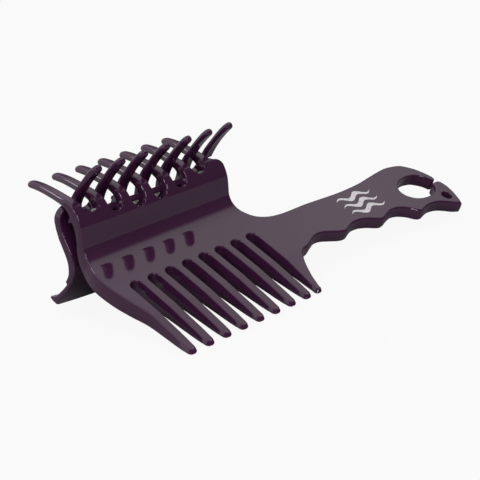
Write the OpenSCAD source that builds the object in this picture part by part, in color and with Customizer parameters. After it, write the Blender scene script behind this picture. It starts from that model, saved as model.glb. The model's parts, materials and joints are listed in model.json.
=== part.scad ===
// Wide tooth grooming comb with a sprung claw clip along its back edge.
// The comb lies in a tilted design plane: X along the comb towards the handle,
// Y from the tooth tips towards the clip, Z out of the comb's upper face.
// rest_pose() lays that plane on the tooth tips and the finger pad, +Z up.

/* [Comb] */
// Distance between neighbouring teeth
tooth_pitch = 8; // [7:0.25:9]
// Number of comb teeth
tooth_count = 9; // [5:1:9]
// Length of the teeth from the slot ends to the tips
tooth_len = 34; // [26:0.1:40]
// Half width of a tooth at its widest, half way through its thickness
tooth_half = 1.85; // [1.4:0.05:2.2]
// Thickness of the comb plate
plate_t = 6; // [5:0.1:6.4]
// Thickness of the handle
handle_t = 4.9; // [3.5:0.1:6]
// Radius of the round end of each slot
slot_end_r = 2.45; // [2:0.05:3]

/* [Handle] */
// Length of the hang hole along the handle
hang_len = 19.4; // [14:0.1:22]
// Width of the hang hole across the handle
hang_wid = 13.4; // [10:0.1:14]
// Width of the snap gap into the hang hole
hang_gap = 1.3; // [1:0.1:4]
// Radius of the small cord hole
cord_hole_r = 2.2; // [1:0.1:3]

/* [Claw clip] */
// Length of both jaws
jaw_len = 70.2; // [60:0.1:74]
// Pitch of the front jaw's claws
claw_pitch = 10.2; // [9.5:0.1:11]
// Number of claws on each jaw
claw_count = 7; // [3:1:7]
// Half width of a claw where it leaves its jaw
claw_root = 1.95; // [1.6:0.05:2.4]
// Half width of a claw near its tip
claw_tip = 1.3; // [0.8:0.05:1.8]
// Radius of the slots between the front claws
claw_slot_r = 3.15; // [2.6:0.05:3.4]

/* [Hinge] */
// Radius of the steel hinge pin
pin_r = 1; // [0.8:0.05:1.5]
// Running clearance between the pin and the rear jaw's lugs
pin_clear = 0.05; // [0.02:0.01:0.1]
// Radius of the lugs around the pin
lug_r = 3.1; // [2.5:0.1:3.4]
// Thickness of each lug
lug_t = 3.2; // [2:0.1:5]
// Spring wire diameter
wire_d = 0.9; // [0.6:0.1:1.2]
// Mean radius of the spring coil
coil_r = 2.1; // [1.8:0.1:2.4]
// Number of turns in the spring
coil_turns = 9; // [5:1:12]

/* [Look] */
// Colour of the moulded plastic
plastic = [0.2, 0.11, 0.18];
// Colour of the steel
steel = [0.66, 0.67, 0.69];
// Colour of the printed wave mark
ink = [0.86, 0.86, 0.85];

/* [Hidden] */
$fn = 48;
// Angle of the comb plate to the ground
tilt = 23.72;
// Place of the design origin in the row frame
shift_x = -74.4;
shift_y = -6.194;
shift_z = 16.07;
jaw_x0 = -7.7;
jaw_x1 = jaw_x0 + jaw_len;
jaw_mid = (jaw_x0 + jaw_x1) / 2;
// Plane where the plate meets the handle
neck_x = 67.4;
// Hinge axis, in the side view
pin_y = 14.9;
pin_z = -10.2;
pin_len = 33;
rear_lug_x = 9.4;
fixed_lug_x = 12.9;
// Height on the rear jaw where the finger pad starts
pad_top = -13.5;
ledge = 1.1;
// Angles where the spring coil starts and ends, and the angle it winds through
coil_a0 = 115;
coil_a1 = -35;
coil_span = coil_turns * 360 + coil_a1 - coil_a0;

// Smooth curve through an open list of points, n steps a span
function cr(a, b, c, d, t) =
    0.5 * ((2 * b) + (c - a) * t + (2 * a - 5 * b + 4 * c - d) * t * t
    + (3 * b - a - 3 * c + d) * t * t * t);
function curve(p, n = 4) = concat(
    [for (i = [0 : len(p) - 2], k = [0 : n - 1])
        cr(p[max(i - 1, 0)], p[i], p[i + 1], p[min(i + 2, len(p) - 1)], k / n)],
    [p[len(p) - 1]]);
function oval(a, b, n = 48) = [for (i = [0 : n - 1]) [a * cos(360 * i / n), b * sin(360 * i / n)]];
function front_claw_x(j) = jaw_x0 + claw_root + claw_pitch * (j - 1);
function front_tip_x(j) = jaw_x0 + 0.9 + (claw_pitch + 0.26) * (j - 1);
function front_slot_x(j) = front_claw_x(j) + claw_pitch / 2;
function front_slot_s(j) = 22.6 + 0.62 * pow(j - claw_count / 2, 2);
function rear_claw_x(k) = jaw_x0 + 7.3 + (claw_pitch + 0.1) * (k - 1);
function rear_slot_x(k) = rear_claw_x(k) + claw_pitch / 2;
function rear_slot_z(k) = 2.6 + 0.62 * pow(k - claw_count / 2, 2);

// Outlines in the plane of the comb
left_edge = [[-7.7, 14], [-8.7, 10], [-9.1, 5.5], [-8.5, 0], [-7.3, -6], [-5.85, -13]];
back_edge = [[62.5, 14], [63.3, 11.6], [65, 8.7], [67.4, 6.3], [71.5, 4.5], [76.5, 3.7],
    [82, 3.4], [90, 3.3], [98, 2.9], [104, 2.5], [110, 2.3], [116.5, 2.4], [123, 2.8],
    [130.5, 3.8], [138, 4.7], [143, 4.8], [148.8, 3.6], [152.8, 0.6], [155.4, -3.2],
    [156.9, -7], [157.6, -11.5], [157.9, -15.5], [157.4, -18.3], [156.1, -21.6], [155.1, -24.4]];
front_edge = [[154.2, -26.3], [151.2, -24.8], [148, -22.5], [144.6, -20.9], [140, -20.4],
    [136.4, -21.2], [133.6, -21.7], [131.4, -20.4], [128.9, -17.7], [125.8, -15.8],
    [122, -15.3], [118.4, -16], [115, -17.3], [112.5, -17.5], [110.4, -16.3], [107.4, -14.5],
    [103.8, -13.5], [99.8, -13.5], [96.4, -14.7], [93.6, -15.7], [90.6, -15.2], [86.6, -13.2],
    [83.2, -12], [79.6, -12], [76, -13.4], [72.4, -14.9], [69.8, -15.2], [67.4, -16.1]];
tooth_9_edge = [[67.4, -16.1], [65.2, -18.6], [63.2, -21.8], [61.1, -26.2], [59.9, -30], [59.4, -32]];

// Underside of the comb in front view, thinner along the handle
function under(x) = x < 60 ? -plate_t : x > 78 ? -handle_t :
    -plate_t + (plate_t - handle_t) * (0.5 - 0.5 * cos(180 * (x - 60) / 18));

module rest_pose() {
    translate([shift_x, shift_y, shift_z])
        rotate([tilt, 0, 0])
            children();
}

// Draws a side view (y, z) outline along X between two planes
module along_x(x0, x1) {
    translate([x0, 0, 0])
        rotate([90, 0, 90])
            linear_extrude(x1 - x0)
                children();
}

// One tooth, tapered in thickness to a round tip and bevelled along both sides
module tooth(x) {
    h = tooth_half;
    intersection() {
        translate([x, 0, -plate_t - 1])
            linear_extrude(plate_t + 2)
                union() {
                    translate([-h, -tooth_len + h])
                        square([2 * h, tooth_len - h - 3]);
                    translate([0, -tooth_len + h])
                        circle(h);
                }
        tooth_side(x - 6, x + 6);
        translate([x, 0, 0])
            rotate([90, 0, 0])
                linear_extrude(tooth_len + 1)
                    polygon([[-h + 0.3, 0], [h - 0.3, 0], [h, -plate_t / 2],
                        [h - 0.3, -plate_t], [-h + 0.3, -plate_t], [-h, -plate_t / 2]]);
    }
}

// Side view of the teeth: both faces slope together to the tips
module tooth_side(x0, x1) {
    e = -tooth_len;
    m = -2.1;
    along_x(x0, x1)
        polygon([[-3, 0], [-15, 0], [e + 2.6, m + 1.15], [e + 1, m + 0.95], [e + 0.3, m + 0.6],
            [e, m], [e + 0.3, m - 0.6], [e + 1, m - 0.95], [e + 2.6, m - 1.15],
            [-9, -plate_t + 0.3], [-3, -plate_t]]);
}

// Plate between the teeth and the clip, with the round slot ends
module comb_plate() {
    color(plastic)
    rest_pose()
    union() {
        difference() {
            top_slab()
                polygon(concat(curve(left_edge), [[-4, -13], [-4, -5], [neck_x, -5]],
                    curve([back_edge[3], back_edge[2], back_edge[1], back_edge[0]])));
            for (i = [0 : tooth_count - 2]) {
                translate([tooth_pitch * i, -slot_end_r + 0.6, -plate_t - 1])
                    cylinder(h = plate_t + 2, r = slot_end_r);
                translate([tooth_pitch * i - 2.1, -15, -plate_t - 1])
                    cube([4.2, 13, plate_t + 2]);
            }
        }
        for (i = [0 : tooth_count - 2])
            tooth(tooth_pitch * (i - 0.5));
        last_tooth();
    }
}

// Extrudes an outline of the comb down to the underside
module top_slab() {
    intersection() {
        translate([0, 0, -plate_t])
            linear_extrude(plate_t)
                children();
        rotate([90, 0, 0])
            translate([0, 0, -40])
                linear_extrude(90)
                    polygon(concat([[-20, 0], [-20, -plate_t]],
                        [for (x = [60 : 2 : 78]) [x, under(x)]],
                        [[170, -handle_t], [170, 0]]));
    }
}

// Last tooth: wide, with a slanted outer edge that runs into the handle
module last_tooth() {
    intersection() {
        top_slab()
            union() {
                polygon(concat([[58.15, -5], [57.9, -18], [56.6, -32.1]], [[59.4, -32.1]],
                    curve([tooth_9_edge[5], tooth_9_edge[4], tooth_9_edge[3], tooth_9_edge[2],
                        tooth_9_edge[1], tooth_9_edge[0]]), [[67.4, -5]]));
                translate([58, -32.1])
                    circle(1.4);
            }
        tooth_side(50, 70);
    }
}

// Handle with four finger grooves, the open hang hole and the cord hole
module comb_handle() {
    color(plastic)
    rest_pose()
    difference() {
        top_slab()
            polygon(concat(curve([for (i = [3 : len(back_edge) - 1]) back_edge[i]]),
                curve(front_edge)));
        translate([144.5, -9.9, -plate_t - 1])
            linear_extrude(plate_t + 2)
                polygon(oval(hang_len / 2, hang_wid / 2));
        translate([151.5, -10.75 - hang_gap / 2, -plate_t - 1])
            cube([9, hang_gap, plate_t + 2]);
        translate([152.1, -19.7, -plate_t - 1])
            cylinder(h = plate_t + 2, r = cord_hole_r);
    }
}

// Side view of the front jaw: bend, wall and claws, about 2.7 mm thick
module front_side() {
    polygon(concat(
        curve([[14, 0], [16.6, 0.5], [18.3, 2.6], [19.6, 6], [21.5, 10], [24.2, 13.1], [27.2, 14.8],
            [30.5, 15.1], [34, 14.6], [38, 13.9], [43, 12.8], [46.6, 12], [49.4, 10.8], [50.7, 9.3]]),
        curve([[50, 8], [46.6, 9.3], [42.6, 10.2], [37.5, 11.2], [32.4, 11.8], [28.7, 11.3],
            [25.3, 9], [22.9, 5.9], [21.2, 2.2], [20, -1.3], [17.9, -4.4], [14, -plate_t]])));
}

// Front jaw seen at 45 degrees, so that wall and claws both show their width
module front_face() {
    difference() {
        union() {
            translate([jaw_x0 - 1, 0])
                square([jaw_len + 2, 26]);
            translate([jaw_x0 - 1, 20])
                square([jaw_len - 2, 9.5]);
            translate([jaw_x1 - 3, 26.5])
                circle(3);
            for (j = [1 : claw_count])
                polygon(concat(
                    curve([[front_claw_x(j) - claw_root, 22], [front_claw_x(j) - claw_root, 28.5],
                        [front_claw_x(j) - 1.9, 32], [front_tip_x(j) - 1.6, 36],
                        [front_tip_x(j) - claw_tip, 41]]),
                    [for (a = [165 : -30 : 15])
                        [front_tip_x(j) + claw_tip * cos(a), 41.1 + claw_tip * sin(a)]],
                    curve([[front_tip_x(j) + claw_tip, 41], [front_tip_x(j) + 1.6, 36],
                        [front_claw_x(j) + 1.8, 32], [front_claw_x(j) + claw_root, 28.5],
                        [front_claw_x(j) + claw_root, 22]])));
        }
        for (j = [1 : claw_count - 1]) {
            translate([front_slot_x(j), front_slot_s(j) + claw_slot_r])
                circle(claw_slot_r);
            translate([front_slot_x(j) - claw_slot_r, front_slot_s(j) + claw_slot_r])
                square([2 * claw_slot_r, 6]);
        }
    }
}

// Front jaw: bend, wall, claws, inner barb rib and the fixed hinge lugs
module front_jaw() {
    color(plastic)
    rest_pose()
    union() {
        intersection() {
            along_x(jaw_x0, jaw_x1)
                front_side();
            rotate([45, 0, 0])
                translate([0, 0, -70])
                    linear_extrude(140)
                        front_face();
        }
        along_x(jaw_x0 + 0.6, jaw_x1 - 0.6)
            polygon([[25.2, 9.6], [27, 10.7], [27.9, 8.2], [27.5, 7.7], [26.9, 7.9]]);
        difference() {
            union() {
                fixed_lug(jaw_mid - fixed_lug_x - lug_t);
                fixed_lug(jaw_mid + fixed_lug_x);
            }
            translate([jaw_mid - 40, pin_y, pin_z])
                rotate([0, 90, 0])
                    cylinder(h = 80, r = pin_r);
        }
    }
}

module fixed_lug(x) {
    translate([x, pin_y, pin_z])
        rotate([0, 90, 0])
            cylinder(h = lug_t, r = lug_r);
    along_x(x, x + lug_t)
        polygon([[pin_y - lug_r, pin_z], [pin_y - lug_r - 1.6, -plate_t], [14, -plate_t],
            [14, -4.6], [16.6, -4.2], [17.6, -5.4], [pin_y + lug_r, pin_z]]);
}

// Side view of the rear jaw from the finger pad to the claw tips
module rear_side() {
    polygon(concat(
        curve([[19.2, -9.2], [19.3, -6.9], [20.2, -4.5], [22.2, -2.3], [25, 0], [27.9, 2.3],
            [30.2, 4.7], [31.4, 7.2], [31.6, 10.5], [30.8, 15], [29.3, 20], [27.5, 24.6],
            [25.6, 28.2], [24, 30.4]]),
        curve([[24.9, 31.1], [26.9, 29], [29.2, 25.2], [31.2, 20.4], [32.9, 15.2], [34, 10.6],
            [34.1, 7], [33.1, 3.8], [31, 1.1], [28.6, -1], [25.9, -3.2], [23.5, -5.6],
            [22.2, -8.2], [21.8, -11], [22.2, pad_top]]),
        curve([[20, pad_top], [19.4, -11.4], [19.2, -9.2]])));
}

// Rear jaw seen along Y
module rear_face() {
    difference() {
        union() {
            translate([jaw_x0, -60])
                square([jaw_len, 66]);
            translate([jaw_x0 + 4, 6.8])
                circle(4);
            translate([jaw_x0, 0])
                square([6, 6.8]);
            translate([jaw_x0 + 4, 0])
                square([jaw_len - 6, 10.8]);
            for (k = [1 : claw_count])
                polygon(concat(
                    curve([[rear_claw_x(k) - 2.3, 2], [rear_claw_x(k) - 2.3, 8],
                        [rear_claw_x(k) - 2.1, 13], [rear_claw_x(k) - 1.95, 20],
                        [rear_claw_x(k) - claw_tip - 0.3, 27]]),
                    [for (a = [165 : -30 : 15]) [rear_claw_x(k) + 1.5 * cos(a), 27.2 + 1.8 * sin(a)]],
                    curve([[rear_claw_x(k) + claw_tip + 0.3, 27], [rear_claw_x(k) + 1.95, 20],
                        [rear_claw_x(k) + 2.1, 13], [rear_claw_x(k) + 2.3, 8],
                        [rear_claw_x(k) + 2.3, 2]])));
        }
        for (k = [1 : claw_count - 1]) {
            translate([rear_slot_x(k), rear_slot_z(k) + 2.8])
                circle(2.8);
            translate([rear_slot_x(k) - 2.8, rear_slot_z(k) + 2.8])
                square([5.6, 9]);
        }
    }
}

// Rear jaw: wall, claws and the moving hinge lugs
module rear_jaw() {
    color(plastic)
    rest_pose()
    difference() {
        union() {
            intersection() {
                along_x(jaw_x0, jaw_x1)
                    rear_side();
                rotate([90, 0, 0])
                    translate([0, 0, -60])
                        linear_extrude(120)
                            rear_face();
            }
            rear_lug(jaw_mid - rear_lug_x - lug_t);
            rear_lug(jaw_mid + rear_lug_x);
        }
        translate([jaw_mid - 40, pin_y, pin_z])
            rotate([0, 90, 0])
                cylinder(h = 80, r = pin_r + pin_clear);
    }
}

module rear_lug(x) {
    translate([x, pin_y, pin_z])
        rotate([0, 90, 0])
            cylinder(h = lug_t, r = lug_r);
    along_x(x, x + lug_t)
        polygon([[pin_y, pin_z + lug_r], [20, -6.6], [20.2, -13.4], [pin_y, pin_z - lug_r]]);
}

// Finger pad below the hinge: stepped back, curved lower edge with a bead
module finger_pad() {
    color(plastic)
    rest_pose()
    intersection() {
        along_x(jaw_x0, jaw_x1)
            polygon(concat(
                curve([[20, pad_top], [20.7, -16.5], [22, -20.4], [23.5, -24.4], [25.4, -30]]),
                curve([[27.8, -29.6], [26.7, -25], [26, -23.6], [24.3, -20.3], [22.6, -16.8],
                    [22.2 - ledge, pad_top]])));
        rotate([90, 0, 0])
            translate([0, 0, -60])
                linear_extrude(120)
                    pad_face();
    }
}

module pad_face() {
    d = 3.6;
    polygon(concat([[jaw_x0, pad_top + 5], [jaw_x0, -24.1], [jaw_x0 + 0.5, -24.8]],
        [for (u = [-0.95 : 0.1 : 0.96]) [jaw_mid + u * jaw_len / 2, -24.9 - d * (1 - u * u)]],
        [[jaw_x1 - 0.5, -24.8], [jaw_x1, -24.1], [jaw_x1, pad_top + 5]]));
}

// Steel hinge pin with a low round head at one end
module hinge_pin() {
    color(steel)
    rest_pose()
    translate([jaw_mid, pin_y, pin_z])
        rotate([0, 90, 0])
            union() {
                translate([0, 0, -pin_len / 2])
                    cylinder(h = pin_len, r = pin_r);
                translate([0, 0, -pin_len / 2 - 0.8])
                    cylinder(h = 0.8, r = 1.7);
            }
}

// Path of the spring wire: one leg under the plate, the coil, one leg on the pad
function coil_pt(a, i) = [jaw_mid - coil_turns * 0.5 + coil_turns * i,
    pin_y + coil_r * cos(a), pin_z + coil_r * sin(a)];
function spring_path() = concat(
    [[jaw_mid - coil_turns * 0.5, 2.5, -plate_t - 0.6],
        [jaw_mid - coil_turns * 0.5, 8, -plate_t - 0.75]],
    [for (i = [0 : 96]) coil_pt(coil_a0 + coil_span * i / 96, i / 96)],
    [[jaw_mid + coil_turns * 0.5, 18.1, -13.2],
        [jaw_mid + coil_turns * 0.5, 20.9, -20.6]]);

function unit(v) = v / norm(v);
function path_dir(p, i) = unit(p[min(i + 1, len(p) - 1)] - p[max(i - 1, 0)]);
function side_a(t) = unit(cross(t, abs(t[0]) > 0.8 ? [0, 0, 1] : [1, 0, 0]));

// Torsion spring around the pin
module torsion_spring() {
    n = 8;
    path = spring_path();
    m = len(path);
    pts = [for (i = [0 : m - 1])
        let (t = path_dir(path, i), a = side_a(t), b = cross(t, a))
            for (k = [0 : n - 1])
                path[i] + wire_d / 2 * (a * cos(360 * k / n) + b * sin(360 * k / n))];
    faces = concat(
        [[for (k = [0 : n - 1]) k]],
        [for (i = [0 : m - 2], k = [0 : n - 1])
            [i * n + (k + 1) % n, i * n + k, (i + 1) * n + k, (i + 1) * n + (k + 1) % n]],
        [[for (k = [n - 1 : -1 : 0]) (m - 1) * n + k]]);
    color(steel)
    rest_pose()
    polyhedron(points = pts, faces = faces, convexity = 10);
}

// Printed mark: three pale wavy strands on the handle's upper face
module handle_mark() {
    color(ink)
    rest_pose()
    for (k = [-1 : 1])
        translate([113, -6 + 4 * k, 0])
            linear_extrude(0.06)
                polygon(concat(
                    [for (i = [0 : 24])
                        [-10 + i * 20 / 24, 1.1 * sin(i * 30) + 1.1 * sin(i * 7.5)]],
                    [for (i = [24 : -1 : 0])
                        [-10 + i * 20 / 24, 1.1 * sin(i * 30) - 1.1 * sin(i * 7.5)]]));
}

comb_plate();
comb_handle();
front_jaw();
rear_jaw();
finger_pad();
hinge_pin();
torsion_spring();
handle_mark();
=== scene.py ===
import json
import math

import bpy
import numpy as np
from mathutils import Matrix, Vector
from mathutils.geometry import delaunay_2d_cdt


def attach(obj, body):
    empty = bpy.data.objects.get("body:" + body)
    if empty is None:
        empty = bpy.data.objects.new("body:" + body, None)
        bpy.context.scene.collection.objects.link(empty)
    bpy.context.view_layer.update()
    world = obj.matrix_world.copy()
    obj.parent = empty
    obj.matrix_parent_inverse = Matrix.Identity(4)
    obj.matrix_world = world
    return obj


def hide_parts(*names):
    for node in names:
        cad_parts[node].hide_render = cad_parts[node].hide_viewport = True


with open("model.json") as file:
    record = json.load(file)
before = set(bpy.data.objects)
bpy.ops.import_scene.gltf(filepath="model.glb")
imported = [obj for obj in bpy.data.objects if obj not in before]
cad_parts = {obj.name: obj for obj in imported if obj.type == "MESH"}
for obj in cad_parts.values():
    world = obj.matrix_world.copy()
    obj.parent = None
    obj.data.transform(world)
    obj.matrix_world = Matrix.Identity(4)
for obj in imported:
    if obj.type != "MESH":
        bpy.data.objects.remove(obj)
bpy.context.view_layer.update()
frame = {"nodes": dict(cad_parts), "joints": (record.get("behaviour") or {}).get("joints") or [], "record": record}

# ---------------------------------------------------------------------------
# Driving dimensions, in millimetres in the comb's own tilted plane: X along the
# comb, Y from the tooth tips to the clip, Z out of the upper face.
# ---------------------------------------------------------------------------
PITCH = 8.0
TOOTH_TIP = -33.9
SLOT_R = 2.45
PLATE_T = 6.0
HANDLE_T = 4.9
JAW_X0 = -7.7
JAW_LEN = 70.2
JAW_X1 = JAW_X0 + JAW_LEN
JAW_MID = (JAW_X0 + JAW_X1) / 2
CLAW_PITCH = 10.2
CLAWS = 7
SLOTS = 8
PIN = (14.9, -10.2)
PAD_TOP = -13.5
LUG_T = 3.2
FIXED_LUG_AT = 12.9
MOVING_LUG_AT = 9.4
SKIN = 0.2  # how much thicker the plate and handle look than their plain CAD shapes

# The row frame: the comb's plane is tilted about X and moved. Both come from the
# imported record, the tilt from the cord hole's axis and the shift from the hinge.
RECORD = frame["record"]
CORD_HOLE = next(m for m in RECORD["mounts"] if m["name"] == "cord_hole")
TILT = math.atan2(-CORD_HOLE["axis"][1], CORD_HOLE["axis"][2])
HINGE = frame["joints"][0]["pos_m"]
COS, SIN = math.cos(TILT), math.sin(TILT)
SHIFT = np.array([
    HINGE[0] * 1000 - JAW_MID,
    HINGE[1] * 1000 - (PIN[0] * COS - PIN[1] * SIN),
    HINGE[2] * 1000 - (PIN[0] * SIN + PIN[1] * COS)])


def to_row(p):
    """Points of the comb's plane, in millimetres, as row-frame points in metres."""
    p = np.asarray(p, float)
    y = p[:, 1] * COS - p[:, 2] * SIN
    z = p[:, 1] * SIN + p[:, 2] * COS
    return (np.c_[p[:, 0], y, z] + SHIFT) / 1000


def turn(n):
    """Directions of the comb's plane, turned into the row frame."""
    n = np.asarray(n, float)
    y = n[:, 1] * COS - n[:, 2] * SIN
    z = n[:, 1] * SIN + n[:, 2] * COS
    return np.c_[n[:, 0], y, z]


# ---------------------------------------------------------------------------
# Curves
# ---------------------------------------------------------------------------
def smooth(points, n=10):
    """A Catmull-Rom curve through an open list of points, any number of columns."""
    p = np.asarray(points, float)
    out = []
    for i in range(len(p) - 1):
        a, b, c, d = p[max(i - 1, 0)], p[i], p[i + 1], p[min(i + 2, len(p) - 1)]
        for k in range(n):
            t = k / n
            out.append(0.5 * (2 * b + (c - a) * t + (2 * a - 5 * b + 4 * c - d) * t * t
                              + (3 * b - a - 3 * c + d) * t ** 3))
    out.append(p[-1])
    return np.array(out)


def arc(cx, cy, r, a0, a1, n=16):
    """Points on a circle from angle a0 to angle a1, in degrees."""
    a = np.radians(np.linspace(a0, a1, n))
    return np.c_[cx + r * np.cos(a), cy + r * np.sin(a)]


def step01(t):
    """A smooth step from 0 to 1 while t goes from 0 to 1."""
    t = np.clip(t, 0, 1)
    return t * t * (3 - 2 * t)


def length_along(p):
    """The distance walked along a line of points, at each of them."""
    return np.r_[0, np.cumsum(np.linalg.norm(np.diff(p, axis=0), axis=1))]


def tag(points, fillet, draft):
    """Adds the edge's rounding radius and its draft to each point of an outline."""
    p = np.asarray(points, float)
    return np.c_[p, np.full(len(p), fillet), np.full(len(p), draft)]


def even(outline, step):
    """A closed outline with points an even distance apart."""
    p = np.vstack([outline, outline[:1]])
    keep = np.r_[True, np.linalg.norm(np.diff(p[:, :2], axis=0), axis=1) > 1e-6]
    p = p[keep]
    s = length_along(p[:, :2])
    n = int(round(s[-1] / step))
    t = np.linspace(0, s[-1], n, endpoint=False)
    return np.column_stack([np.interp(t, s, p[:, k]) for k in range(p.shape[1])])


def blur(values, times):
    """Values round a closed ring, averaged with their neighbours."""
    for _ in range(times):
        values = (np.roll(values, 1) + 2 * values + np.roll(values, -1)) / 4
    return values


def inside(points, ring):
    """Which points lie inside a closed ring."""
    a, b = ring, np.roll(ring, -1, axis=0)
    got = np.zeros(len(points), bool)
    batch = 2000
    for k in range(0, len(points), batch):
        p = points[k:k + batch]
        y = p[:, 1][:, None]
        hit = (a[:, 1] > y) != (b[:, 1] > y)
        with np.errstate(divide="ignore", invalid="ignore"):
            x = a[:, 0] + (y - a[:, 1]) * (b[:, 0] - a[:, 0]) / (b[:, 1] - a[:, 1])
        got[k:k + batch] = (hit & (p[:, 0][:, None] < x)).sum(1) % 2 == 1
    return got


# ---------------------------------------------------------------------------
# One moulding as a sheet: a flat outline with rounded edges, bent into place
# ---------------------------------------------------------------------------
EDGE_STEP = 0.3         # spacing of the points along an outline
PARTING = 0.12          # half the height of the small flat at the parting line
ROUND_STEPS = 6         # steps across one rounded edge
MAX_ROUND = 0.46        # largest rounding, as a share of the thickness
MIN_FLANK = 0.2         # least half height of the flank that carries the draft
GRID_CLEAR = 0.45       # how far the extra points stay from the rounded edges
SLOPE_STEP = 0.02       # step for the surface's slopes
OUT_BLUR, FILLET_BLUR, DRAFT_BLUR = 2, 8, 3


def sheet_mesh(rings, surface, grid, step=EDGE_STEP):
    """Builds a closed moulding as vertices, normals and faces. rings are outlines of
    (x, u, fillet, draft), the first one the outer edge and the others holes. surface(x, u, w)
    gives points from w = 0 on the face that d/dx cross d/du points out of, to w = 1 on the
    other face. grid are extra points inside the faces."""
    verts, norms, faces = [], [], []
    count = 0

    def frame_at(x, u, w):
        p = surface(x, u, w)
        tx = surface(x + SLOPE_STEP, u, w) - surface(x - SLOPE_STEP, u, w)
        tu = surface(x, u + SLOPE_STEP, w) - surface(x, u - SLOPE_STEP, w)
        tx /= np.linalg.norm(tx, axis=1)[:, None]
        tu /= np.linalg.norm(tu, axis=1)[:, None]
        n = np.cross(tx, tu)
        n /= np.linalg.norm(n, axis=1)[:, None]
        return p, tx, tu, n

    flats = []
    for index, ring in enumerate(rings):
        r = even(ring, step)
        area = 0.5 * np.sum(r[:, 0] * np.roll(r[:, 1], -1)
                            - np.roll(r[:, 0], -1) * r[:, 1])
        if (area > 0) != (index == 0):
            r = r[::-1]
        t = np.roll(r[:, :2], -1, axis=0) - np.roll(r[:, :2], 1, axis=0)
        t /= np.linalg.norm(t, axis=1)[:, None]
        out = np.c_[t[:, 1], -t[:, 0]]
        out = np.c_[blur(out[:, 0], OUT_BLUR), blur(out[:, 1], OUT_BLUR)]
        out /= np.linalg.norm(out, axis=1)[:, None]
        fillet, draft = blur(r[:, 2], FILLET_BLUR), blur(r[:, 3], DRAFT_BLUR)
        x, u = r[:, 0], r[:, 1]
        thick = np.linalg.norm(surface(x, u, np.zeros(len(x)))
                               - surface(x, u, np.ones(len(x))), axis=1)
        fillet = np.minimum(fillet, thick * MAX_ROUND)
        side = np.arctan2(draft, np.maximum(thick / 2 - fillet, MIN_FLANK))
        # rows of (inset, w, angle of the normal above the outline's plane)
        rows = []
        for k in range(ROUND_STEPS + 1):
            a = k / ROUND_STEPS * (math.pi / 2 - side)
            inset = fillet * (1 - np.sin(a))
            depth = fillet * (1 - np.cos(a))
            rows.append((inset - draft * depth / (thick / 2), depth / thick, math.pi / 2 - a))
        rows.append((-draft * (1 - PARTING / (thick / 2)), 0.5 - PARTING / thick, side))
        rows.append((-draft, np.full(len(x), 0.5), np.zeros(len(x))))
        rows += [(o, 1 - w, -phi) for o, w, phi in rows[-2::-1]]
        n = len(x)
        for o, w, phi in rows:
            px, pu = x - out[:, 0] * o, u - out[:, 1] * o
            p, tx, tu, up = frame_at(px, pu, w)
            flat = tx * out[:, :1] + tu * out[:, 1:]
            flat /= np.linalg.norm(flat, axis=1)[:, None]
            nn = flat * np.cos(phi)[:, None] + up * np.sin(phi)[:, None]
            verts.append(p)
            norms.append(nn)
        first = np.c_[x - out[:, 0] * rows[0][0], u - out[:, 1] * rows[0][0]]
        flats.append((first, count, count + n * (len(rows) - 1)))
        for k in range(len(rows) - 1):
            i = np.arange(n)
            j = (i + 1) % n
            a, b = count + k * n, count + (k + 1) * n
            faces += np.c_[a + i, b + i, b + j, a + j].tolist()
        count += n * len(rows)

    # the two faces share one triangulation
    flat = np.vstack([f[0] for f in flats])
    top_id = np.concatenate([np.arange(len(f[0])) + f[1] for f in flats])
    bottom_id = np.concatenate([np.arange(len(f[0])) + f[2] for f in flats])
    ok = inside(grid, flats[0][0])
    for f in flats[1:]:
        ok &= ~inside(grid, f[0])
    grid = grid[ok]
    clear = np.ones(len(grid), bool)
    batch = 500
    for k in range(0, len(grid), batch):
        d = np.linalg.norm(grid[k:k + batch, None, :] - flat[None, ::2, :], axis=2)
        clear[k:k + batch] = d.min(1) > GRID_CLEAR
    grid = grid[clear]
    points = np.vstack([flat, grid])
    edges = []
    start = 0
    for f in flats:
        n = len(f[0])
        edges += [(start + i, start + (i + 1) % n) for i in range(n)]
        start += n
    got = delaunay_2d_cdt([Vector(p) for p in points], edges, [], 0, 1e-6)
    back = [ids[0] if len(ids) else -1 for ids in got[3]]
    tris = np.array([[back[i] for i in f] for f in got[2]])
    tris = tris[(tris >= 0).all(1)]
    middle = points[tris].mean(1)
    keep = inside(middle, flats[0][0])
    for f in flats[1:]:
        keep &= ~inside(middle, f[0])
    tris = tris[keep]
    ng = len(grid)
    for w in (0.0, 1.0):
        p, _, _, up = frame_at(grid[:, 0], grid[:, 1], np.full(ng, w))
        verts.append(p)
        norms.append(up if w == 0 else -up)
    top = np.r_[top_id, count + np.arange(ng)]
    bottom = np.r_[bottom_id, count + ng + np.arange(ng)]
    faces += top[tris].tolist()
    faces += bottom[tris[:, ::-1]].tolist()
    return np.vstack(verts), np.vstack(norms), faces


def make_object(name, parts):
    """One object out of several (vertices, normals, faces) parts in the comb's plane."""
    verts = np.vstack([p[0] for p in parts])
    norms = np.vstack([p[1] for p in parts])
    faces, start = [], 0
    for p in parts:
        faces += [[i + start for i in f] for f in p[2]]
        start += len(p[0])
    mesh = bpy.data.meshes.new(name)
    mesh.from_pydata(to_row(verts).tolist(), [], faces)
    mesh.validate()
    mesh.shade_smooth()
    if len(mesh.vertices) == len(verts):
        mesh.normals_split_custom_set_from_vertices(turn(norms).tolist())
    ob = bpy.data.objects.new(name, mesh)
    bpy.context.scene.collection.objects.link(ob)
    return ob


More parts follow.
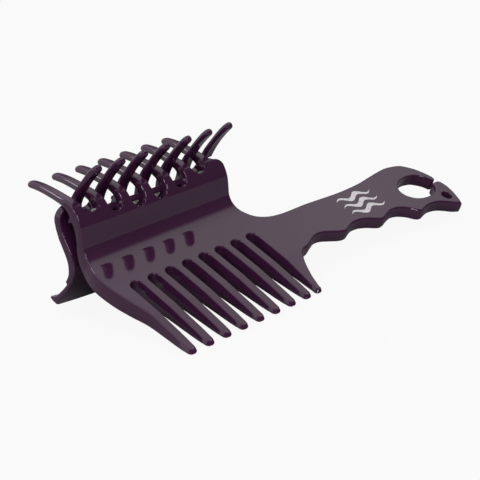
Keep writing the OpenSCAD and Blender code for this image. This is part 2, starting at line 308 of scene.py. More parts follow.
# ---------------------------------------------------------------------------
# The comb moulding: plate, teeth, handle and front jaw in one sheet.
# u is Y on the plate, and goes on along the bend, the wall and the claws.
# ---------------------------------------------------------------------------
# each row is (y, z) on the outer face and (y, z) on the inner face across from it
FRONT_PAIRS = np.array([
    [0, 0, 0, -6.2], [2, 0.03, 2, -6.2], [4, 0.09, 4, -6.2], [6, 0.15, 6.1, -6.2],
    [8, 0.21, 8.3, -6.2], [10, 0.28, 10.8, -6.05], [12, 0.42, 13.3, -5.6],
    [14, 0.9, 15.8, -4.7], [16.2, 1.98, 18.3, -2.9], [18, 3.8, 20.3, 0],
    [19.3, 6.5, 21.9, 4], [21.3, 10.2, 24, 7.6], [24.2, 13.1, 26.8, 10.2],
    [27.2, 14.8, 28.5, 11.3], [30.5, 15.1, 30.7, 11.9], [34, 14.6, 33.8, 11.8],
    [38, 13.9, 37.6, 11.3], [43, 12.8, 42.5, 10.3], [46.4, 11.7, 45.8, 9.3],
    [48.8, 10.6, 48.1, 8.5], [50.4, 9.7, 49.6, 7.7], [51.7, 8.9, 50.8, 7.0],
    [52.8, 8.1, 51.8, 6.2]])
FRONT_LEAD = [[-4, 0, -4, -6.2], [-2, 0, -2, -6.2]]
front_curve = smooth(np.vstack([FRONT_LEAD, FRONT_PAIRS]), 12)
front_u = length_along(front_curve[:, :2]) - 4
front_s45 = (front_curve[:, 0] + front_curve[:, 1]) / math.sqrt(2)


def u_of_s(s):
    """The u of the jaw's outer face where (y + z) / sqrt 2 has this value."""
    top = int(np.argmax(front_s45))
    return np.interp(s, front_s45[:top], front_u[:top])


def comb_surface(x, u, w):
    """The comb moulding: a flat plate with teeth that thin to their tips, then the jaw."""
    x, u, w = (np.broadcast_to(np.asarray(v, float), np.shape(x)) for v in (x, u, w))
    teeth = step01((72 - x) / 6)  # 1 on the teeth and plate, 0 on the handle
    top = -np.clip((-15 - u) / 16.4, 0, 1.25) * 0.95 * teeth
    lower = PLATE_T + SKIN - (PLATE_T - HANDLE_T) * step01((x - 60) / 18)
    taper = np.interp(u, [-40, -31.4, -9, -3], [2.9, 3.25, 5.85, 6.2])
    bottom = -(lower * (1 - teeth) + np.minimum(lower, taper) * teeth)
    flat_y, flat_z = u, top + (bottom - top) * w
    oy = np.interp(u, front_u, front_curve[:, 0])
    oz = np.interp(u, front_u, front_curve[:, 1])
    iy = np.interp(u, front_u, front_curve[:, 2])
    iz = np.interp(u, front_u, front_curve[:, 3])
    iz = iz + (PLATE_T + SKIN - lower) * (1 - step01((u - 6) / 5))
    jaw = u > -2  # the curve's lead repeats the flat plate, so the two meet anywhere there
    y = np.where(jaw, oy + (iy - oy) * w, flat_y)
    z = np.where(jaw, oz + (iz - oz) * w, flat_z)
    return np.c_[x, y, z]


# ---------------------------------------------------------------------------
# The comb moulding's outline. Roundings and drafts that come up more than once have
# a name, and the others are given where they are drawn.
# ---------------------------------------------------------------------------
TOOTH_HALF = 1.62       # half a tooth's width at its upper face
TOOTH_DRAFT = 0.3
ARRIS = 0.3             # small rounding along the teeth
SLOT_DRAFT = 0.02       # the round ends of the slots stand almost straight
MOULD_DRAFT = 0.1       # the handle's edges, the claw gaps and the rear claws
EDGE_DRAFT = 0.12       # the plate's left edge, the finger grooves and the front claws
WALL_DRAFT = 0.08       # the ends of the two walls


def tooth_tip(x):
    """The round end of one tooth, from its right side to its left side."""
    side = TOOTH_TIP + TOOTH_HALF + 0.1  # where the straight sides end
    return np.vstack([
        tag([[x + TOOTH_HALF, side + 4.5]], ARRIS, TOOTH_DRAFT),
        tag([[x + TOOTH_HALF, side + 1.5]], 0.5, TOOTH_DRAFT),
        tag(arc(x + 0.1, side, TOOTH_HALF, 0, -180, 14), 0.85, TOOTH_DRAFT),
        tag([[x - TOOTH_HALF, side + 1.5]], 0.5, TOOTH_DRAFT),
        tag([[x - TOOTH_HALF, side + 4.5]], ARRIS, TOOTH_DRAFT)])


def slot_end(x):
    """The round inner end of one slot, from its left wall to its right wall."""
    cy = -SLOT_R + 0.6
    return np.vstack([
        tag([[x - SLOT_R, cy - 2.6]], ARRIS, TOOTH_DRAFT),
        tag([[x - SLOT_R, cy - 1.3]], ARRIS, SLOT_DRAFT),
        tag(arc(x, cy, SLOT_R, 180, 0, 18), 0.5, SLOT_DRAFT),
        tag([[x + SLOT_R, cy - 1.3]], ARRIS, SLOT_DRAFT),
        tag([[x + SLOT_R, cy - 2.6]], ARRIS, TOOTH_DRAFT)])


LEFT_EDGE = [[-7.7, 18], [-7.95, 14], [-9.0, 10], [-9.45, 5.5], [-8.9, 0], [-7.7, -6],
             [-6.1, -13], [-5.7, -17]]
BACK_EDGE = [[62.65, 20], [62.75, 17], [63.1, 14], [63.8, 11.6], [65.4, 8.5], [67.6, 6.4],
             [71.5, 4.7], [76.5, 3.9], [82, 3.7], [90, 3.7], [98, 3.3], [104, 2.95],
             [110, 2.75], [116.5, 2.85], [123, 3.2], [130.5, 4.15], [138, 5.0], [143, 5.05],
             [148.8, 3.85], [151.6, 1.95], [154.1, -0.9], [155.5, -3.5]]
HOOK = [[156.5, -6.0], [157.1, -8.2]]
END_EDGE = [[157.8, -12.5], [158.0, -15.2], [157.5, -18.3], [156.4, -21.6], [155.3, -24.2]]
FRONT_EDGE = [[154.2, -26.1], [151.2, -24.9], [148, -22.7], [144.6, -21.0], [140, -20.4],
              [136.4, -21.0], [133.6, -21.6], [131.6, -20.7], [129.2, -18.2], [125.8, -16.1],
              [122, -15.4], [118.4, -16.1], [115, -17.2], [112.7, -17.4], [110.6, -16.5],
              [107.4, -14.8], [103.8, -13.7], [99.8, -13.6], [96.4, -14.6], [93.6, -15.6],
              [90.8, -15.2], [86.6, -13.4], [83.2, -12.1], [79.6, -12], [76, -13.3],
              [72.6, -14.7], [69.6, -15.3], [67.3, -16.5], [65.1, -19], [63.1, -22.2],
              [61, -26.6], [59.8, -30.2], [59.35, -31.9]]
HOLE_EDGE = [[156.8, -9.5], [156.0, -10.15], [155.1, -10.0], [154.5, -9.1], [153.5, -7.1],
             [150.5, -4.3], [147.8, -3.4], [145, -3.1], [141, -3.6], [137.6, -5.3],
             [135.4, -7.6], [134.8, -9.8], [135.3, -12.1], [137.2, -14.4], [139.4, -15.6],
             [142, -16.25], [145, -16.45], [148.4, -15.9], [150.8, -14.8], [152.3, -13.2],
             [152.9, -12.1], [153.6, -11.4], [155.2, -11.3], [156.8, -11.45]]


CLAW_SIDE = 1.95        # half a claw's width at its root, halfway up and at its tip
CLAW_MIDDLE = 2.05
CLAW_END = 1.75
GAP_R = 3.15            # the round bottom of a gap between two claws


def claw_outline(cx, tip_x, u_root, u_mid, u_tip):
    """One front claw, up its left side, round its tip and down its right side."""
    mid_x, tip_u = (cx + tip_x) / 2, u_tip - CLAW_END
    left = smooth([[cx - CLAW_SIDE, u_root], [cx - CLAW_SIDE + 0.02, u_root + 2.5],
                   [mid_x - CLAW_MIDDLE, u_mid], [tip_x - CLAW_END, tip_u]], 6)
    tip = arc(tip_x, tip_u, CLAW_END, 170, 10, 12)
    right = smooth([[tip_x + CLAW_END, tip_u], [mid_x + CLAW_MIDDLE, u_mid],
                    [cx + CLAW_SIDE - 0.02, u_root + 2.5], [cx + CLAW_SIDE, u_root]], 6)
    parts = []
    for side in (left, tip, right):
        round_edge = np.interp(side[:, 1], [u_root, u_root + 5], [0.5, 1.3])
        parts.append(np.c_[side, round_edge, np.full(len(side), EDGE_DRAFT)])
    return np.vstack(parts)


def root_line(j):
    """How far the bottom of gap j, on either jaw, lies above the middle one's."""
    return 0.62 * (j - 3.5) ** 2


def front_outline():
    """The whole comb moulding's outline, counter-clockwise from the plate's left edge."""
    # teeth and slots, left to right along the front
    parts = [tag(smooth(LEFT_EDGE, 6), 0.55, EDGE_DRAFT), tooth_tip(-PITCH / 2)[::-1]]
    for i in range(SLOTS):
        parts.append(slot_end(PITCH * i))
        if i < SLOTS - 1:
            parts.append(tooth_tip(PITCH * (i + 0.5))[::-1])
    # wide last tooth, its slanted outer edge runs on into the grooves
    parts.append(tag([[58.4, -9], [58.25, -18], [57.3, -28.5]], ARRIS, TOOTH_DRAFT))
    parts.append(tag(arc(58.15, -32.25, 1.35, 188, 352, 12), 0.8, TOOTH_DRAFT))
    edge = smooth(FRONT_EDGE[::-1], 8) - [0, 0.12]
    soft = np.interp(edge[:, 0], [59, 62, 66, 70], [0.5, 0.35, 0.6, 1.15])
    parts.append(np.c_[edge, soft, np.full(len(edge), EDGE_DRAFT)])
    parts.append(tag(smooth(END_EDGE[::-1], 8), 0.8, MOULD_DRAFT))
    parts.append(tag(smooth(HOLE_EDGE[::-1], 6), 0.45, MOULD_DRAFT))
    parts.append(tag(smooth(HOOK[::-1] + BACK_EDGE[::-1], 8), 0.8, MOULD_DRAFT))
    # right end of the wall with its round shoulder, then the claws from right to left
    shoulder_u, shoulder_r = u_of_s(29.7), 3.8
    end_x = 62.55
    parts.append(tag([[end_x + 0.1, u_of_s(20)], [end_x, shoulder_u - 4.2]], 0.7, WALL_DRAFT))
    parts.append(tag(arc(end_x - shoulder_r, shoulder_u - 4.0, shoulder_r, 0, 84, 10),
                     0.6, WALL_DRAFT))
    root_s = 22.2
    for j in range(CLAWS, 0, -1):
        cx = JAW_X0 + CLAW_SIDE + CLAW_PITCH * (j - 1)
        tip_x = JAW_X0 + 1.45 + (CLAW_PITCH + 0.2) * (j - 1)
        u_root = shoulder_u + 0.8 if j == CLAWS else u_of_s(root_s + root_line(j)) + GAP_R
        parts.append(claw_outline(cx, tip_x, u_root, u_of_s(34.5), u_of_s(41.5) + 2.5)[::-1])
        if j > 1:
            gap_u = u_of_s(root_s + root_line(j - 1)) + GAP_R
            gap = arc(cx - CLAW_PITCH / 2, gap_u, GAP_R, 0, -180, 16)
            parts.append(tag(gap, 0.35, MOULD_DRAFT))
    parts.append(tag([[JAW_X0 + 0.02, u_of_s(27)], [JAW_X0, u_of_s(22)]], 0.5, WALL_DRAFT))
    return np.vstack(parts)


def grid_points(x0, x1, u0, u1, dx, du):
    """Rows of points du apart, every other row shifted by half a step of dx."""
    gx, gu = np.meshgrid(np.arange(x0, x1, dx), np.arange(u0, u1, du))
    gx = gx + (np.arange(gx.shape[0]) % 2)[:, None] * dx / 2
    return np.c_[gx.ravel(), gu.ravel()]


def lug(x0, x1, outline):
    """A side-view outline of (y, z) with rounded edges, drawn along X from x0 to x1."""
    ring = tag(outline, 0.35, 0.03)

    def surface(a, b, w):
        return np.c_[x1 + (x0 - x1) * np.broadcast_to(w, np.shape(a)), a, b]

    return sheet_mesh([ring], surface, np.array([PIN]), 0.4)


def lug_outline(a0, a1, root):
    """A round eye at the pin, closed by the points of its root."""
    return np.vstack([arc(PIN[0], PIN[1], 3.1, a0, a1, 26), root])


cord_hole = tag(arc(152.1, -19.7, 2.2, 0, 350, 36), 0.35, 0.05)
comb_parts = [sheet_mesh(
    [front_outline(), cord_hole], comb_surface,
    np.vstack([grid_points(-9, 66, 3, front_u[-1], 1.6, 0.6),
               grid_points(-8, 158, -34, 2.5, 4.0, 2.5)]))]
fixed_eye = lug_outline(
    180, 360, [[17.9, -6], [17.2, -3.0], [12, -5.0], [10.4, -5.7], [11.2, -7.6]])
for x in (JAW_MID - FIXED_LUG_AT - LUG_T, JAW_MID + FIXED_LUG_AT):
    comb_parts.append(lug(x, x + LUG_T, fixed_eye))
# the small rib inside the front jaw
barb = smooth([[25.2, 9.6], [26.2, 10.6], [27.4, 10.4], [28.0, 8.6], [27.6, 7.7], [26.9, 7.9],
               [26.0, 9.0], [25.2, 9.6]], 4)[:-1]
comb_parts.append(lug(JAW_X0 + 0.6, JAW_X1 - 0.6, barb))
comb = make_object("comb_moulding", comb_parts)

# ---------------------------------------------------------------------------
# The rear jaw moulding: pad, waist, wall and claws in one sheet.
# u runs up the middle of its thickness.
# ---------------------------------------------------------------------------
# each row is (y, z) on the inner face and (y, z) on the outer face across from it
REAR_PAIRS = np.array([
    [25.7, -31.5, 28.9, -31.2], [24.9, -28.5, 28.2, -28.0], [23.5, -24.4, 27.2, -24.2],
    [22, -20.4, 25.4, -20.3], [20.7, -16.5, 23.7, -16.8], [20, -13.5, 22.4, -13.5],
    [19.4, -11.4, 21.9, -11.5], [19.2, -9.2, 21.8, -9.8], [19.3, -6.9, 22.2, -8.2],
    [20.2, -4.5, 23.1, -6.2], [22.2, -2.3, 24.6, -4.4], [25, 0, 27.2, -2.15],
    [27.9, 2.3, 29.9, 0.15], [30.2, 4.7, 33, 3.6], [31.4, 7.2, 34.1, 7], [31.6, 10.5, 34, 10.6],
    [30.8, 15, 32.9, 15.3], [29.3, 20, 31.2, 20.5], [27.4, 24.6, 29.4, 25.4],
    [25.5, 28.2, 27.5, 29.4], [24.3, 30.2, 26.2, 31.5]])
rear_curve = smooth(REAR_PAIRS, 12)
rear_mid = (rear_curve[:, :2] + rear_curve[:, 2:]) / 2
rear_u = length_along(rear_mid)


def u_of_z(z):
    """The u where the middle of the rear jaw has this height."""
    return np.interp(z, rear_mid[:, 1], rear_u)


def pad_edge_z(x):
    """Height of the finger pad's lower edge."""
    t = (np.asarray(x, float) - JAW_MID) / (JAW_LEN / 2)
    return -25.05 - 3.6 * (1 - t * t)


def rear_surface(x, u, w):
    """The rear moulding, with the pad stepped back and a bead along its lower edge."""
    x, u, w = (np.broadcast_to(np.asarray(v, float), np.shape(x)) for v in (x, u, w))
    iy, iz, oy, oz = (np.interp(u, rear_u, rear_curve[:, k]) for k in range(4))
    z = np.interp(u, rear_u, rear_mid[:, 1])
    ledge = 1.1 * step01((PAD_TOP - z + 0.35) / 0.7)
    bead = 1.7 * np.exp(-((z - pad_edge_z(x) - 1.5) / 1.2) ** 2) * step01((-17 - z) / 2)
    oy = oy - ledge + bead
    oz = oz - 0.15 * bead
    return np.c_[x, iy + (oy - iy) * w, iz + (oz - iz) * w]


REAR_PITCH = CLAW_PITCH + 0.15
REAR_SIDE = 2.2         # half a rear claw's width at its root
REAR_END = 1.75         # and at its tip
REAR_GAP_R = 2.9
REAR_GAP_Z = 2.6        # height of the middle gap's round bottom
REAR_GAP_UP = 2.8       # from there up to the middle of its arc


def rear_outline():
    """The rear moulding's outline, counter-clockwise from its lower left corner."""
    xs = np.linspace(JAW_X0 + 1.2, JAW_X1 - 1.2, 40)
    parts = [tag(np.c_[xs, u_of_z(pad_edge_z(xs))], 0.9, 0.0)]
    corner = float(u_of_z(pad_edge_z(JAW_X1)))
    parts.append(tag([[JAW_X1 - 0.35, corner + 0.35], [JAW_X1, corner + 1.3]], 0.7, 0.0))
    parts.append(tag([[JAW_X1, u_of_z(-14)]], 0.45, 0.05))
    parts.append(tag([[JAW_X1, u_of_z(5)]], 0.5, 0.05))
    parts.append(tag(smooth([[JAW_X1 - 0.1, u_of_z(7)], [JAW_X1 - 1.2, u_of_z(9.4)],
                             [JAW_X1 - 3.2, u_of_z(10.7)]], 6), 0.5, WALL_DRAFT))
    # the claws from right to left. Known fault: the claw at the right end starts beyond the
    # wall's round shoulder, so all that joins it to the wall is a neck 0.02 mm wide
    u_low, u_high, tip_u = u_of_z(14), u_of_z(20), u_of_z(29.1) - REAR_END
    for k in range(CLAWS, 0, -1):
        cx = JAW_X0 + 7.55 + REAR_PITCH * (k - 1)
        root_z = 11.2 if k == CLAWS else REAR_GAP_Z + root_line(k) + REAR_GAP_UP
        root_r = u_of_z(root_z)
        root_l = u_of_z(11.4) if k == 1 else root_r
        left = smooth([[cx - REAR_SIDE, root_l], [cx - REAR_SIDE, u_low],
                       [cx - 2.05, u_high], [cx - 1.6, tip_u]], 6)
        right = smooth([[cx + 1.9, tip_u], [cx + 2.05, u_high],
                        [cx + REAR_SIDE, u_low], [cx + REAR_SIDE, root_r]], 6)
        parts.append(tag(right[::-1], 0.65, MOULD_DRAFT))
        parts.append(tag(arc(cx + 0.15, tip_u, REAR_END, 10, 170, 12), 0.9, MOULD_DRAFT))
        parts.append(tag(left[::-1], 0.65, MOULD_DRAFT))
        if k > 1:
            gap_z = REAR_GAP_Z + root_line(k - 1) + REAR_GAP_UP
            gap = arc(cx - REAR_PITCH / 2, gap_z, REAR_GAP_R, 0, -180, 16)
            gap[:, 1] = u_of_z(gap[:, 1])
            parts.append(tag(gap, 0.35, MOULD_DRAFT))
    parts.append(tag(smooth([[JAW_X0 + 4.4, u_of_z(10.8)], [JAW_X0 + 1.6, u_of_z(9.6)],
                             [JAW_X0 + 0.1, u_of_z(6.8)], [JAW_X0, u_of_z(4)]], 6),
                     0.5, WALL_DRAFT))
    left_x = JAW_X0 - 0.25
    parts.append(tag([[left_x, u_of_z(1)], [left_x, u_of_z(-12)]], 0.45, 0.05))
    parts.append(tag([[left_x, corner + 1.3], [left_x + 0.35, corner + 0.35]], 0.7, 0.0))
    return np.vstack(parts)


# rows of points along the step above the pad keep its edge crisp
ledge_u = float(u_of_z(PAD_TOP))
rear_grid = grid_points(JAW_X0, JAW_X1, 0, rear_u[-1], 1.6, 0.7)
rear_grid = rear_grid[np.abs(rear_grid[:, 1] - ledge_u) > 1.0]
ledge_x, ledge_row = np.meshgrid(np.arange(JAW_X0 + 0.4, JAW_X1, 0.5),
                                 ledge_u + np.linspace(-0.8, 0.8, 13))
rear_parts = [sheet_mesh([rear_outline()], rear_surface,
                         np.vstack([rear_grid, np.c_[ledge_x.ravel(), ledge_row.ravel()]]))]
moving_eye = lug_outline(90, -90, [[20.3, -13.2], [20.2, -10], [20.3, -7.2]])
for x in (JAW_MID - MOVING_LUG_AT - LUG_T, JAW_MID + MOVING_LUG_AT):
    rear_parts.append(lug(x, x + LUG_T, moving_eye))
rear = make_object("rear_jaw_moulding", rear_parts)


# ---------------------------------------------------------------------------
# Steel: the pin as a turned solid, and the spring as a swept round wire
# ---------------------------------------------------------------------------
def sweep(path, radii, sides):
    """A round bar through a list of points, with its own radius at each."""
    path = np.asarray(path, float)
    n = len(path)
    t = np.gradient(path, axis=0)
    pace = np.linalg.norm(t, axis=1)
    t /= pace[:, None]
    slopes = np.gradient(radii) / np.maximum(pace, 1e-6)
    a = np.cross(t[0], [0.3, 0.5, 0.8])  # any direction that isn't along the path
    ang = np.linspace(0, 2 * math.pi, sides, endpoint=False)
    verts, norms = [], []
    for i in range(n):
        a = a - t[i] * np.dot(a, t[i])
        a /= np.linalg.norm(a)
        b = np.cross(t[i], a)
        d = np.outer(np.cos(ang), a) + np.outer(np.sin(ang), b)
        verts.append(path[i] + d * radii[i])
        m = d - t[i] * slopes[i]
        norms.append(m / np.linalg.norm(m, axis=1)[:, None])
    faces = []
    for i in range(n - 1):
        for k in range(sides):
            q = (k + 1) % sides
            here, there = i * sides, (i + 1) * sides
            faces.append([here + k, here + q, there + q, there + k])
    faces.append(list(range(sides))[::-1])
    faces.append([(n - 1) * sides + k for k in range(sides)])
    return np.vstack(verts), np.vstack(norms), faces


COIL_R = 2.1
COIL_TURNS = 9
COIL_X0, COIL_X1 = JAW_MID - 4.5, JAW_MID + 4.5
WIRE_R = 0.45


def coil_points(a0, a1, x0, x1, n):
    """Points on the coil round the pin, from angle a0 to angle a1, in degrees."""
    a = np.radians(np.linspace(a0, a1, n))
    x = np.linspace(x0, x1, n)
    return np.c_[x, PIN[0] + COIL_R * np.cos(a), PIN[1] + COIL_R * np.sin(a)]


def wire(name, points, end_first):
    """A length of spring wire with softened bends and a deburred free end."""
    for _ in range(2):
        points[1:-1] = (points[:-2] + 2 * points[1:-1] + points[2:]) / 4
    radii = np.full(len(points), WIRE_R)
    if end_first:
        radii[0], radii[1] = 0.3, 0.42
    else:
        radii[-1], radii[-2] = 0.3, 0.42
    return make_object(name, [sweep(points, radii, 16)])


# the coil and its leg under the plate stay with the comb, the other leg turns with the pad
spring = wire("spring_coil", np.vstack([
    np.linspace([COIL_X0, 2.5, -PLATE_T - 0.8], [COIL_X0, 9.5, -PLATE_T - 1.0], 8),
    coil_points(115, COIL_TURNS * 360 - 35, COIL_X0, COIL_X1, COIL_TURNS * 30 + 1)]), True)
spring_leg = wire("spring_leg", np.vstack([
    coil_points(-95, -35, COIL_X1, COIL_X1, 8),
    np.linspace([COIL_X1, 18.1, -13.2], [COIL_X1, 20.9, -20.6], 8)]), False)

# (distance along the pin from the middle of the jaws, radius), the head first
pin_profile = [(-17.3, 0.9), (-17.28, 1.3), (-17.15, 1.6), (-16.95, 1.7), (-16.65, 1.7),
               (-16.52, 1.6), (-16.48, 1.0), (-16.3, 1.0), (-8, 1.0), (0, 1.0), (8, 1.0),
               (16.1, 1.0), (16.35, 0.95), (16.48, 0.8), (16.5, 0.6)]
pin = make_object("steel_pin", [sweep(
    [[JAW_MID + p, PIN[0], PIN[1]] for p, _ in pin_profile],
    np.array([r for _, r in pin_profile]), 40)])


# ---------------------------------------------------------------------------
# Materials
# ---------------------------------------------------------------------------
class Nodes:
    """A short way to write one material's node tree."""

    def __init__(self, name):
        self.mat = bpy.data.materials.new(name)
        self.mat.use_nodes = True
        self.tree = self.mat.node_tree
        self.bsdf = self.tree.nodes["Principled BSDF"]
        self.coords = self.tree.nodes.new("ShaderNodeTexCoord").outputs["Object"]

    def add(self, kind, inputs=None, **settings):
        """A new node with its settings, and a value or a link for each named input."""
        node = self.tree.nodes.new(kind)
        for key, value in settings.items():
            setattr(node, key, value)
        for key, value in (inputs or {}).items():
            self.put(node.inputs[key], value)
        return node

    def put(self, socket, value):
        """Links another node's output to the socket, or sets its plain value."""
        if isinstance(value, bpy.types.NodeSocket):
            self.tree.links.new(value, socket)
        else:
            socket.default_value = value

    def noise(self, scale, detail=3.0, rough=0.5, stretch=None):
        vector = self.coords
        if stretch:
            place = self.add("ShaderNodeMapping", {"Vector": vector, "Scale": stretch})
            vector = place.outputs[0]
        node = self.add("ShaderNodeTexNoise", {"Vector": vector, "Scale": scale,
                                               "Detail": detail, "Roughness": rough})
        return node.outputs["Fac"]

    def cells(self, scale):
        """Distance from the nearest point of a scatter."""
        node = self.add("ShaderNodeTexVoronoi", {"Vector": self.coords, "Scale": scale})
        return node.outputs["Distance"]

    def span(self, value, a, b, c, d):
        """The value, with a to b stretched to c to d and held at the ends."""
        return self.add("ShaderNodeMapRange", {"Value": value, "From Min": a, "From Max": b,
                                               "To Min": c, "To Max": d}).outputs[0]

    def maths(self, how, a, b=0.0):
        return self.add("ShaderNodeMath", {0: a, 1: b}, operation=how).outputs[0]

    def mix(self, fac, a, b):
        node = self.tree.nodes.new("ShaderNodeMix")
        node.data_type = "RGBA"
        self.put(node.inputs[0], fac)
        self.put(node.inputs[6], a)
        self.put(node.inputs[7], b)
        return node.outputs[2]

    def bump(self, height, strength, distance, normal=None):
        node = self.add("ShaderNodeBump", {"Height": height, "Strength": strength,
                                           "Distance": distance})
        if normal is not None:
            self.put(node.inputs["Normal"], normal)
        return node.outputs[0]

    def set(self, **values):
        for key, value in values.items():
            self.put(self.bsdf.inputs[key.replace("_", " ")], value)


def plastic_material():
    """Dark aubergine plastic, polished, with faint flow marks, sink and fine wear."""
    m = Nodes("aubergine_plastic")
    flow = m.noise(55.0, 4.0, 0.55, (0.5, 1.6, 1.6))
    cloud = m.noise(18.0, 2.0)
    grain = m.noise(2600.0, 2.0)
    scuff = m.noise(240.0, 5.0, 0.7, (1.0, 7.0, 7.0))
    scratch = m.span(scuff, 0.63, 0.72, 0.0, 1.0)
    worn = m.span(m.noise(34.0, 3.0), 0.45, 0.7, 0.0, 1.0)
    speck = m.span(m.cells(420.0), 0.0, 0.055, 1.0, 0.0)
    dark = m.mix(flow, (0.0345, 0.0072, 0.0300, 1), (0.0440, 0.0112, 0.0395, 1))
    tone = m.mix(m.span(cloud, 0.35, 0.7, 0.0, 0.5), dark, (0.0395, 0.0118, 0.0370, 1))
    dust = m.mix(m.maths("MULTIPLY", speck, 0.10), tone, (0.35, 0.32, 0.34, 1))
    m.set(Base_Color=dust)
    rough = m.maths("ADD", m.span(cloud, 0.3, 0.7, 0.05, 0.085),
                    m.maths("MULTIPLY", m.maths("MULTIPLY", scratch, worn), 0.10))
    m.set(Roughness=m.maths("ADD", rough, m.maths("MULTIPLY", speck, 0.2)))
    m.set(IOR=1.53)
    wave = m.bump(m.noise(70.0, 1.0), 0.10, 0.00018)
    fine = m.bump(grain, 0.035, 0.00002, wave)
    m.set(Normal=m.bump(scratch, 0.05, 0.00002, fine))
    return m.mat


def steel_material(name, stretch, colour, rough):
    """Drawn or ground steel: fine lines along the work, slight stain and oil film."""
    m = Nodes(name)
    lines = m.noise(900.0, 4.0, 0.6, stretch)
    stain = m.noise(120.0, 3.0)
    m.set(Base_Color=m.mix(m.span(stain, 0.4, 0.75, 0.0, 0.6), colour + (1,),
                           (0.33, 0.31, 0.29, 1)))
    m.set(Metallic=1.0)
    m.set(Roughness=m.span(lines, 0.3, 0.7, rough, rough + 0.2))
    m.set(Normal=m.bump(lines, 0.15, 0.00002))
    return m.mat


def ink_material():
    """Pale pad-printed ink, thin in places, with a slightly dry surface."""
    m = Nodes("pale_ink")
    cover = m.noise(900.0, 4.0, 0.65)
    thin = m.span(cover, 0.28, 0.5, 1.0, 0.0)
    m.set(Base_Color=m.mix(m.maths("MULTIPLY", thin, 0.6), (0.62, 0.60, 0.62, 1),
                           (0.20, 0.13, 0.18, 1)))
    m.set(Roughness=m.span(cover, 0.3, 0.7, 0.28, 0.42))
    m.set(Normal=m.bump(cover, 0.2, 0.00001))
    return m.mat


plastic = plastic_material()
wire_steel = steel_material("spring_steel", (1.0, 1.0, 1.0), (0.55, 0.55, 0.57), 0.22)
pin_steel = steel_material("pin_steel", (0.15, 3.0, 3.0), (0.62, 0.62, 0.64), 0.16)
for ob, nodes, body, paint, slot in (
        (comb, ("comb_plate", "comb_handle", "front_jaw"), "comb", plastic, "plastic"),
        (rear, ("rear_jaw", "finger_pad"), "clip", plastic, "plastic"),
        (spring, ("torsion_spring",), "comb", wire_steel, "steel"),
        (spring_leg, ("torsion_spring",), "clip", wire_steel, "steel"),
        (pin, ("hinge_pin",), "comb", pin_steel, "steel")):
    ob.data.materials.append(paint)
    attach(ob, body)
    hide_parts(*nodes)

mark = frame["nodes"]["handle_mark"]
mark.data.materials.clear()
mark.data.materials.append(ink_material())

# ---------------------------------------------------------------------------
# Floor, light and camera
# ---------------------------------------------------------------------------
HALF = 3.0
FLOOR_Z = -0.0002  # just below the pad, whose lower edge is 0.16 mm under the CAD's ground
floor_mesh = bpy.data.meshes.new("floor")
floor_mesh.from_pydata([(-HALF, -HALF, 0), (HALF, -HALF, 0), (HALF, HALF, 0), (-HALF, HALF, 0)],
                       [], [(0, 1, 2, 3)])
floor = bpy.data.objects.new("floor", floor_mesh)
bpy.context.scene.collection.objects.link(floor)
paper = Nodes("white_paper")
paper.set(Base_Color=paper.mix(paper.noise(300.0), (0.30, 0.29, 0.30, 1),
                               (0.32, 0.31, 0.32, 1)))
paper.set(Roughness=0.9)
# the camera sees paler paper than the comb does, so that the comb's shadows stay dark
lit = paper.add("ShaderNodeEmission", {"Color": (0.955, 0.955, 0.955, 1), "Strength": 1.085})
pale_paper = paper.add("ShaderNodeMixShader", {0: 0.12, 1: lit.outputs[0],
                                               2: paper.bsdf.outputs[0]})
ray = paper.add("ShaderNodeLightPath")
both = paper.add("ShaderNodeMixShader", {0: ray.outputs["Is Camera Ray"],
                                         1: paper.bsdf.outputs[0], 2: pale_paper.outputs[0]})
paper.put(paper.tree.nodes["Material Output"].inputs[0], both.outputs[0])
floor_mesh.materials.append(paper.mat)
floor.location.z = FLOOR_Z


AIM = Vector((0, 0, 0.02))


def softbox(name, place, size, watts, colour=(1, 1, 1)):
    """A square lamp that faces the comb."""
    light = bpy.data.lights.new(name, "AREA")
    light.shape = "RECTANGLE"
    light.size = light.size_y = size
    light.energy = watts
    light.color = colour
    ob = bpy.data.objects.new(name, light)
    ob.location = place
    ob.rotation_euler = (AIM - Vector(place)).to_track_quat("-Z", "Y").to_euler()
    bpy.context.scene.collection.objects.link(ob)
    return ob


fill = softbox("fill", (-0.5, -0.8, 0.7), 0.6, 4.9, (1.0, 0.97, 1.0))
fill.visible_glossy = False
softbox("key_left", (-0.55, 0.55, 0.9), 0.3, 2.0)
softbox("front_left", (-1.15, -0.35, 0.55), 0.2, 2.2)
softbox("front_right", (-0.20, -1.05, 0.62), 0.2, 2.2)

# a soft surround: pale behind and above the comb, dim in front and low on the right
world = bpy.data.worlds.new("studio")
bpy.context.scene.world = world
world.use_nodes = True
sky = world.node_tree
DIM = 0.09
PALE = 0.86
CAMERA_SEES = 0.955


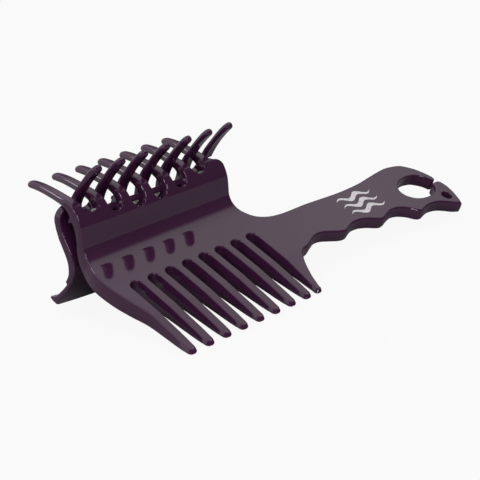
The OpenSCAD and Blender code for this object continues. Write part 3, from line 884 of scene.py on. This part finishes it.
def sky_node(kind, inputs, **settings):
    """A node of the world's tree, and its first output."""
    node = sky.nodes.new(kind)
    for key, value in settings.items():
        setattr(node, key, value)
    for key, value in inputs.items():
        if isinstance(value, bpy.types.NodeSocket):
            sky.links.new(value, node.inputs[key])
        else:
            node.inputs[key].default_value = value
    return node.outputs[0]


def fade(value, a, b, c, d):
    """A smooth change from c to d while the value goes from a to b."""
    return sky_node("ShaderNodeMapRange", {"Value": value, "From Min": a, "From Max": b,
                                           "To Min": c, "To Max": d},
                    interpolation_type="SMOOTHSTEP")


def sums(how, a, b):
    """One sum of the world's tree, such as MULTIPLY."""
    return sky_node("ShaderNodeMath", {0: a, 1: b}, operation=how)


axes = sky.nodes.new("ShaderNodeSeparateXYZ")
sky.links.new(sky.nodes.new("ShaderNodeTexCoord").outputs["Generated"], axes.inputs[0])
way = axes.outputs
low_right = sums("MULTIPLY", fade(way[0], 0.30, 0.55, 0, 1), fade(way[2], 0.48, 0.66, 1, 0))
open_part = sums("SUBTRACT", 1.0, sums("MULTIPLY", low_right, 0.85))
pale = sums("MULTIPLY", fade(way[1], -0.42, -0.20, 0, PALE), open_part)
to_camera = sky.nodes.new("ShaderNodeLightPath").outputs["Is Camera Ray"]
strength = sums("MAXIMUM", sums("ADD", pale, DIM), sums("MULTIPLY", to_camera, CAMERA_SEES))
background = sky.nodes["Background"]
background.inputs[0].default_value = (1, 1, 1, 1)
sky.links.new(strength, background.inputs[1])

# the camera's place, turn and lens come from one fit to the photograph's view
camera = bpy.data.cameras.new("camera")
camera.sensor_width = 36
camera.lens = 100.96
camera.clip_start = 0.01
eye = bpy.data.objects.new("camera", camera)
eye.matrix_world = Matrix.Translation((-0.346208, -0.313922, 0.176128)) @ Matrix((
    (0.676348, 0.280722, -0.680991, 0),
    (-0.734954, 0.195764, -0.649245, 0),
    (-0.048944, 0.939612, 0.338723, 0),
    (0, 0, 0, 1)))
bpy.context.scene.collection.objects.link(eye)
bpy.context.scene.camera = eye
bpy.context.scene.view_settings.view_transform = "Standard"
